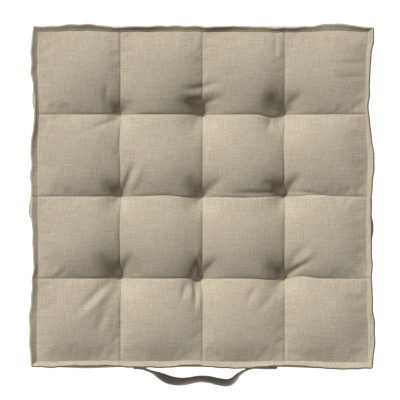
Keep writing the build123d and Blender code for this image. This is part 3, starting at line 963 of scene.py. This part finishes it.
def edge_stitches(name, node, upper):
    """Stitches all round on a flange."""
    length, radius, share = 3.1, 0.38, 0.3
    parts = []
    for side, (way_x, way_y) in SIDES.items():
        for n in range(int(2 * HALF / STITCH_SPACING)):
            start = -HALF + STITCH_SPACING * (n + 0.2)
            ends = np.array([start, start + length])
            z = WALL_LOW + 0 * ends
            up = (0, 0, 1)
            if upper:
                seam = placed(side, ends, HALF + 0 * ends, z)
                z = SEAM_Z + lip_rise(share) * lip_droop(seam[:, 0], seam[:, 1])
                up = (-0.6 * way_x, -0.6 * way_y, 0.8)
            line = wander(placed(side, ends, HALF + lip_reach(share) + 0 * ends, z))
            parts.append(stitch(line[0], line[1], up, radius))
    finished(joined(name, parts), "thread", [node])


edge_stitches("top_flange_stitches", "top_edge_stitching", True)
edge_stitches("bottom_flange_stitches", "bottom_edge_stitching", False)


def tuft(number, i, j):
    """A tie: twine through the cushion, four crossed stitches on top, and a knot with tails underneath."""
    ply, knot_ply = 0.5, 0.6
    x, y = i * PITCH, j * PITCH
    at_x, at_y = drawn(x, y)
    top_point = np.array([at_x, at_y, top_height(np.array(x), np.array(y)) - 1.0])
    low_point = np.array([x, y, 6.0])
    shares = np.linspace(0, 1, 24)
    parts = []
    for phase in (0, math.pi):
        turn = shares * 60 + phase
        twist = np.stack([np.cos(turn), np.sin(turn), 0 * turn], -1) * 0.45
        parts.append(tube(low_point + shares[:, None] * (top_point - low_point) + twist, ply))
    for turn in (0.35, 1.25, 2.2, 2.75):
        way = np.array([math.cos(turn + i), math.sin(turn + j), 0])
        ends = np.array([-4.6, -2.8, 0.0, 2.8, 4.6])[:, None] * way
        points = top_point + ends
        points[:, 2] = top_height(x + ends[:, 0], y + ends[:, 1]) + np.array([-0.5, 0.5, 0.9, 0.5, -0.5])
        parts.append(tube(points, ply))
    turn = np.linspace(0, 2 * math.pi, 14)
    for lean in (0, 1.05, 2.1):
        ring = np.stack([np.cos(turn) * 1.7, np.sin(turn) * 1.7 * math.cos(lean), np.sin(turn) * 1.3], -1)
        parts.append(tube(np.array([x, y, 5.2]) + ring, knot_ply))
    for way in (-1, 1):
        tail = np.array([[0, 0, 5.0], [2.5 * way, 1.0, 4.6], [5.5 * way, 2.2, 4.4], [8.5 * way, 1.2, 3.4]])
        parts.append(tube(tail + np.array([x, y, 0]), ply))
    finished(joined(f"tie_{number}", parts), "tie_twine", [f"tuft_tie_{number}"])


for number, (i, j) in enumerate(TUFTS, 1):
    tuft(number, i, j)


# ------------ zip


def zip_teeth(half_name, way):
    """One row of the coil: a rounded tooth at each turn, with a bar of cord behind them."""
    low, high = node_box(f"zip_coil_{half_name}")
    pitch, wire, cord = 1.75, 0.42, 0.5
    y_mid, y_half = (low[1] + high[1]) / 2, (high[1] - low[1]) / 2
    near = WALL_MID + way * 0.62
    far = WALL_MID + way * (max(abs(low[2] - WALL_MID), abs(high[2] - WALL_MID)) - 0.1)
    turn = [(-0.55, far), (0.35, far)]
    turn += [(share, near + gap * way) for share, gap in ((0.45, 0.7), (0.1, 0.45), (-0.35, 0.6))]
    parts = []
    for n in range(int((high[0] - low[0]) / pitch)):
        x = low[0] + pitch * (n + 0.5 + 0.22 * way)
        parts.append(tube([(x, y_mid + share * y_half, z) for share, z in turn], wire))
    cord_y, cord_z = y_mid - 0.2, far - 0.9 * way
    parts.append(tube([(low[0], cord_y, cord_z), (high[0], cord_y, cord_z)], cord, 8))
    finished(joined(f"zip_teeth_{half_name}", parts), "zip_coil", [f"zip_coil_{half_name}"])


zip_teeth("upper", 1)
zip_teeth("lower", -1)


def rounded_copy(name, node, width, body):
    """A copy of a metal node of the model with all its edges rounded."""
    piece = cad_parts[node].copy()
    piece.data = piece.data.copy()
    piece.name = name
    piece.parent = None
    for key in list(piece.keys()):
        del piece[key]
    bpy.context.scene.collection.objects.link(piece)
    weld = piece.modifiers.new("Weld", "WELD")
    weld.merge_threshold = 0.01 * MM
    flatten = piece.modifiers.new("Flatten", "DECIMATE")
    flatten.decimate_type = "DISSOLVE"
    flatten.angle_limit = math.radians(3)
    bevel = piece.modifiers.new("Bevel", "BEVEL")
    bevel.width = width * MM
    bevel.segments = 3
    bevel.limit_method = "ANGLE"
    bevel.angle_limit = math.radians(35)
    bpy.context.view_layer.update()
    made = bpy.data.meshes.new_from_object(piece.evaluated_get(bpy.context.evaluated_depsgraph_get()))
    piece.modifiers.clear()
    piece.data = made
    made.polygons.foreach_set("use_smooth", np.ones(len(made.polygons), bool))
    made.set_sharp_from_angle(angle=math.radians(50))
    finished(piece, "zip_metal", [node], body)


rounded_copy("zip_slider_body", "zip_slider", 0.28, "zip_slider")
rounded_copy("zip_puller", "zip_pull_tab", 0.35, "zip_pull")
rounded_copy("zip_stops", "zip_end_stops", 0.25, "cushion")

for node in ("zip_tape_upper", "zip_tape_lower"):
    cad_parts[node].data.materials.clear()
    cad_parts[node].data.materials.append(LOOKS["zip_tape"])


# ------------ carrying strap


def spline(points, steps):
    """A smooth line near given points: a quadratic B-spline that starts and ends on them."""
    points = np.array(points, float)
    inner = (points[:-1] + points[1:]) / 2
    starts = np.concatenate([points[:1], inner[1:-1]])
    ends = np.concatenate([inner[1:-1], points[-1:]])
    line = []
    for start, middle, end in zip(starts, points[1:-1], ends):
        for t in np.linspace(0, 1, steps, endpoint=False):
            line.append((1 - t) ** 2 * start + 2 * t * (1 - t) * middle + t * t * end)
    line.append(ends[-1])
    return np.array(line)


STRAP_LINE = spline(STRAP_ROUTE, 18)
STRAP_HEADING = np.gradient(STRAP_LINE, axis=0)
STRAP_HEADING /= np.linalg.norm(STRAP_HEADING, axis=1, keepdims=True)
STRAP_LENGTH = np.concatenate([[0], np.cumsum(np.linalg.norm(np.diff(STRAP_LINE, axis=0), axis=1))])
STRAP_END = STRAP_LENGTH[-1]


def on_strap(length, height, off):
    """A point of the strap, from the length along it, the height from its middle and the distance off it."""
    x, out = [np.interp(length, STRAP_LENGTH, STRAP_LINE[:, axis]) for axis in (0, 1)]
    way_x, way_out = [np.interp(length, STRAP_LENGTH, STRAP_HEADING[:, axis]) for axis in (0, 1)]
    free = smooth(3, 24, out)
    lean = STRAP_LEAN * free * (1 + 0.15 * np.sin(length / 31))
    leaning = lean * height + STRAP_BOW * free * (height**2 - STRAP_WIDTH**2 / 12)
    hug = (WALL_RADIUS - np.sqrt(WALL_RADIUS**2 - height**2)) * (1 - free)
    sag = free * 0.5 * np.sin(length / 17 + height / 9)
    out = out + off * way_x - leaning - hug + sag
    z = WALL_MID + height / np.hypot(1, lean) + off * lean * 0.8
    return np.stack([x - off * way_out, -(WALL_OUT + out), z], -1)


def strap():
    """The strap: folded cloth, plump along its edges and drawn in along its two rows of stitches."""
    half_width, half_thick = STRAP_WIDTH / 2, STRAP_THICKNESS / 2
    face = []
    for step in np.linspace(-1, 1, 31):
        height = half_width * np.sign(step) * (1 - (1 - abs(step)) ** 1.3)
        near_edge = half_width - abs(height)
        full = half_thick * np.sqrt(1 - (1 - min(near_edge / 1.6, 1.0)) ** 2)
        pinch = 0.28 * half_thick * np.exp(-(((near_edge - STITCH_INSET) / 0.9) ** 2))
        face.append((height, max(full - pinch, 0.15)))
    ring = face + [(height, -off) for height, off in face[::-1]]
    tip = np.array([0.0, 0.25, 0.8])
    lengths = np.concatenate([tip, np.linspace(1.8, STRAP_END - 1.8, 230), STRAP_END - tip[::-1]])
    ends = np.minimum(lengths, STRAP_END - lengths)
    round_off = np.sqrt(np.clip(1 - (1 - np.clip(ends / 1.5, 0, 1)) ** 2, 0.05, 1))
    back_on_cloth = 40
    points, cloth, wear = [], [], []
    for length, shrink in zip(lengths, round_off):
        pucker = 1 + 0.06 * math.sin(length * 2 * math.pi / STITCH_SPACING)
        for height, off in ring:
            points.append(on_strap(length, height, off * shrink * pucker))
            cloth.append((length, height + (0 if off > 0 else back_on_cloth)))
            wear.append(0.6 * float(smooth(half_width - 1.2, half_width, abs(height))))
    return add_object("carrying_strap", points, bar_faces(len(lengths), len(ring)), cloth, wear)


def strap_stitches():
    """Two rows of stitches on both faces, and a crossed box of stitches on each sewn end."""
    length, radius = 2.6, 0.6
    face = STRAP_THICKNESS / 2 - 0.42
    edge = STRAP_WIDTH / 2 - STITCH_INSET
    parts = []
    for height in (-edge, edge):
        for off in (-face, face):
            for start in np.arange(2.5, STRAP_END - 5, STITCH_SPACING):
                ends = np.array([start, start + length])
                line = on_strap(ends, height, off)
                up = on_strap(ends, height, off + np.sign(off)) - line
                parts.append(stitch(line[0], line[1], up[0], radius))
    for left, right in ((2.5, 15.5), (STRAP_END - 31, STRAP_END - 2.5)):
        corners = np.array([(left, -edge), (left, edge), (right, edge), (right, -edge)])
        for start, end in corners[[(0, 1), (2, 3), (0, 2), (1, 3)]]:
            count = max(2, round(np.linalg.norm(end - start) / STITCH_SPACING))
            for n in range(count):
                ends = start + (end - start) * (np.array([n + 0.12, n + 0.85]) / count)[:, None]
                line = on_strap(ends[:, 0], ends[:, 1], face + 0.35)
                parts.append(stitch(line[0], line[1], (0, -1, 0), radius))
    return joined("strap_stitches", parts)


# The strap and its threads are hung on no body, and their placing is applied to their points
THREADS = ["handle_stitching", "handle_end_stitching_left", "handle_end_stitching_right"]
for make, slot, nodes in (
    (strap, "strap_cloth", ["handle_strap", "handle_end_left", "handle_end_right"]),
    (strap_stitches, "thread", THREADS),
):
    piece = make()
    finished(piece, slot, nodes, body=None)
    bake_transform(piece)


# ------------ floor, light and camera


def add_light(name, toward, strength, color, angle, shadow=True):
    """A sun that shines from a direction."""
    data = bpy.data.lights.new(name, "SUN")
    data.energy = strength
    data.color = color
    data.angle = math.radians(angle)
    data.use_shadow = shadow
    made = bpy.data.objects.new(name, data)
    made.rotation_euler = Vector(toward).to_track_quat("Z", "Y").to_euler()
    bpy.context.scene.collection.objects.link(made)
    return made


def pale_floor():
    size, drop = 6000, 0.4
    corners = [(x * size, y * size, -drop) for x, y in ((-1, -1), (1, -1), (1, 1), (-1, 1))]
    made = add_object("floor", corners, [(0, 1, 2, 3)])
    graph = Graph("pale_floor")
    tone = graph.mottled((0.93, 0.93, 0.92), (graph.noise(graph.place(), (6, 6, 6)), 0.985, 1.0))
    for name, value in (("Base Color", tone), ("Roughness", 0.9), ("Specular IOR Level", 0.1)):
        graph.put(graph.shader.inputs[name], value)
    made.data.materials.append(graph.material)
    made.visible_diffuse = False
    return made


def studio_world(above, below):
    """Even white light, stronger from below, as a white floor throws it back on the sides."""
    world = bpy.data.worlds.new("studio")
    bpy.context.scene.world = world
    world.use_nodes = True
    tree = world.node_tree
    coords = tree.nodes.new("ShaderNodeTexCoord")
    parts = tree.nodes.new("ShaderNodeSeparateXYZ")
    ramp = tree.nodes.new("ShaderNodeMapRange")
    tree.links.new(coords.outputs["Generated"], parts.inputs[0])
    tree.links.new(parts.outputs["Z"], ramp.inputs["Value"])
    values = {"From Min": -0.8, "From Max": -0.05, "To Min": below, "To Max": above}
    for name, value in values.items():
        ramp.inputs[name].default_value = value
    background = tree.nodes["Background"]
    background.inputs["Color"].default_value = (1.0, 1.0, 1.0, 1.0)
    tree.links.new(ramp.outputs["Result"], background.inputs["Strength"])


floor = pale_floor()
add_light("key", (-0.57, 0.85, 1.0), 4.4, (1.0, 0.985, 0.955), 8)
floor_fill = add_light("floor_fill", (0, 0, 1), 3.1, (1, 1, 1), 10, shadow=False)
lit = bpy.data.collections.new("lit_by_floor_fill")
lit.objects.link(floor)
floor_fill.light_linking.receiver_collection = lit
add_light("floor_bounce", (0.3, -0.5, -1.2), 4.0, (1, 0.99, 0.97), 40, shadow=False)
studio_world(above=0.08, below=1.0)
bpy.context.scene.view_settings.view_transform = "Standard"

LENS = 400.0
SENSOR = 36.0
FRAME_WIDTH = 706.0
AIM = (-4.4, -6.2)
AIM_Z = SEAM_Z + 5
camera_data = bpy.data.cameras.new("camera")
camera_data.lens = LENS
camera_data.sensor_width = SENSOR
camera_data.clip_end = 100
camera = bpy.data.objects.new("camera", camera_data)
camera.location = (AIM[0] * MM, AIM[1] * MM, (AIM_Z + FRAME_WIDTH * LENS / SENSOR) * MM)
bpy.context.scene.collection.objects.link(camera)
bpy.context.scene.camera = camera
